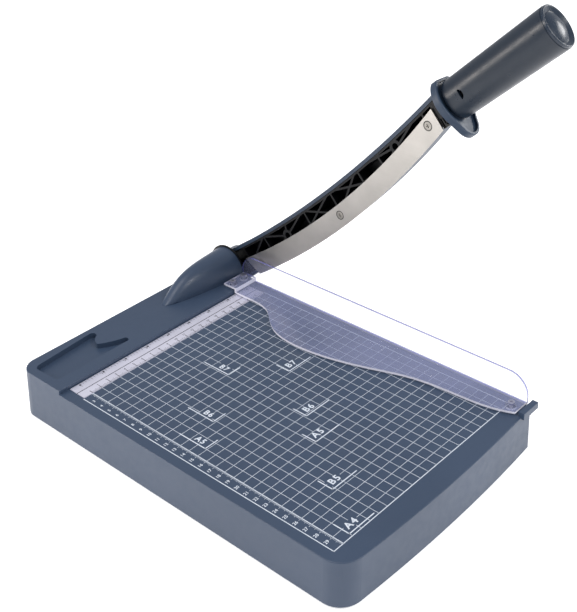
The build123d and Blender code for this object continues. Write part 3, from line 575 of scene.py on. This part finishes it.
# Painted shade: a dark sheet on the groove's floor darkens the groove
groove_shade_bar = [(STRIP_LEFT, GROOVE[0], STRIP_RIGHT, GROOVE[1])]
groove_low, groove_high = (STRIP_TOP - depth for depth in GROOVE_DEPTHS)
bars("strip_groove_shade", groove_shade_bar, DARK_INK_AND_SHADE, groove_low, groove_high)
strip_figures = [
    (str(n), 10 * n, CENTIMETRE_FIGURE_Y, CENTIMETRE_FIGURE_HEIGHT, 0, 1.0) for n in range(1, 19)
]
strip_figures += [
    (str(n), INCH * n + INCH_FIGURE_SHIFT, INCH_FIGURE_Y, INCH_FIGURE_HEIGHT, 0, 1.0) for n in range(1, 8)
]
lettering("strip_figures", strip_figures, DARK_INK_AND_SHADE, MARK_LOW, MARK_HIGH, 0.05)


# ---------------------------------------------------------------- painted shade round the blade's screws, where their countersinks are

# Painted shade: a dark ring round each blade screw stands in for the shade in its countersink
COUNTERSINK_SHADE = Surface("countersink_shadow", srgb("1C1B1A"), 0.6)
COUNTERSINK_SHADE.tint(COUNTERSINK_SHADE.spread(COUNTERSINK_SHADE.noise(500.0, 3.0), 0, 1), srgb("2E2B28"))
COUNTERSINK_SHADE.roughen(COUNTERSINK_SHADE.noise(120.0, 2.0), 0.5, 0.7)

PIVOT_SPOT = (36.0, -8.0)  # the axle's y and z in table coordinates
BLADE_FACE = 220.0  # the x of the blade's face towards the table
RINGED_SCREWS = [(187.9, -7.5), (328.1, 13.4)]  # along the arm from the axle, and above its line
RING_RADII = (3.45, 4.25)
RING_FACES = ((BLADE_FACE - 0.03, 1), (BLADE_FACE + 0.02, -1))  # x of the ring's two faces and their winding
RING_STEPS = 48


def screw_rings():
    """Thin dark rings on the blade's face, one round each screw head: painted shade of the countersinks."""
    shape = bmesh.new()
    for along, up in RINGED_SCREWS:
        y = PIVOT_SPOT[0] - along * cos(ARM_TURN) + up * sin(ARM_TURN)
        z = PIVOT_SPOT[1] + along * sin(ARM_TURN) + up * cos(ARM_TURN)
        for x, winding in RING_FACES:
            loops = []
            for radius in RING_RADII:
                angles = [2 * pi * step / RING_STEPS for step in range(RING_STEPS)]
                spots = [table(x, y + radius * cos(a), z + radius * sin(a)) for a in angles]
                loops.append([shape.verts.new(spot) for spot in spots])
            inner, outer = loops
            for step in range(RING_STEPS):
                ahead = (step + 1) % RING_STEPS
                corners = (inner[step], inner[ahead], outer[ahead], outer[step])
                shape.faces.new(corners[::winding])
    made = drawn("blade_screw_shade_rings", shape, COUNTERSINK_SHADE)
    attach(made, "arm")
    return made


screw_rings()


# ---------------------------------------------------------------- floor, light and camera

FLOOR_SIZE = 8
FLOOR_DROP = 0.0002  # keeps the floor just clear of the feet
FLOOR_GLOW = 0.56
SKY_COLOR = (0.93, 0.95, 1.0)
SKY_STRENGTH = 0.52

FLOOR = Surface("floor", (0.93, 0.93, 0.94), 0.7)
FLOOR.tint(FLOOR.spread(FLOOR.noise(0.8, 1.0), 0, 1), (0.90, 0.90, 0.91))
FLOOR.shader.inputs["Emission Color"].default_value = (1, 1, 1, 1)
FLOOR.shader.inputs["Emission Strength"].default_value = FLOOR_GLOW

bpy.ops.mesh.primitive_plane_add(size=FLOOR_SIZE, location=(0, 0, -FLOOR_DROP))
floor = bpy.context.object
floor.name = "floor"
floor.data.materials.append(FLOOR.material)

world = bpy.data.worlds.new("studio")
bpy.context.scene.world = world
world.use_nodes = True
sky = world.node_tree.nodes["Background"]
sky.inputs["Color"].default_value = (*SKY_COLOR, 1)
sky.inputs["Strength"].default_value = SKY_STRENGTH

LIGHTS_AIM = Vector((0, 0, 0.1))

# Area lights: name, direction from the aim, distance, width and height, power in watts and colour
SOFTBOXES = [
    ("key", (0.87, -0.36, 0.33), 1.7, (0.6, 0.5), 7, (1.0, 0.99, 0.97)),
    ("front", (0.18, -0.73, 0.66), 1.6, (0.3, 0.3), 9, (1.0, 0.98, 0.95)),
    ("grip_strip", (-0.75, 0.62, 0.26), 1.5, (0.25, 1.3), 11, (1.0, 0.93, 0.86)),
    ("overhead", (-0.35, 0.10, 0.93), 1.6, (0.9, 0.9), 9, (1.0, 0.97, 0.95)),
]


def softbox(name, direction, distance, size, power, color):
    """A rectangular area light that faces the object."""
    light = bpy.data.lights.new(name, "AREA")
    light.shape = "RECTANGLE"
    light.size, light.size_y = size
    light.energy = power
    light.color = color
    holder = bpy.data.objects.new(name, light)
    away = Vector(direction).normalized()
    holder.location = LIGHTS_AIM + away * distance
    holder.rotation_euler = away.to_track_quat("Z", "Y").to_euler()
    bpy.context.scene.collection.objects.link(holder)


for settings in SOFTBOXES:
    softbox(*settings)

# The camera stands about where the photograph's did. Its place and aim are in table coordinates, its roll in
# degrees, its focal length and sensor in millimetres, and its shift is a part of the picture's width
CAMERA_AT = table(-429.5, -679.3, 558.6)
CAMERA_AIM = table(224.5, -80.2, 0)
CAMERA_ROLL = -1.97
FOCAL_LENGTH = 69.19
SENSOR_WIDTH = 36
LENS_SHIFT = (-0.0556, 0.0016)

lens = bpy.data.cameras.new("camera")
lens.sensor_fit = "HORIZONTAL"
lens.sensor_width = SENSOR_WIDTH
lens.lens = FOCAL_LENGTH
lens.shift_x, lens.shift_y = LENS_SHIFT
camera = bpy.data.objects.new("camera", lens)
bpy.context.scene.collection.objects.link(camera)
facing = (CAMERA_AIM - CAMERA_AT).to_track_quat("-Z", "Y").to_matrix()
facing = facing @ Matrix.Rotation(radians(CAMERA_ROLL), 3, "Z")
camera.matrix_world = Matrix.Translation(CAMERA_AT) @ facing.to_4x4()
bpy.context.scene.camera = camera
bpy.context.scene.view_settings.view_transform = "Standard"
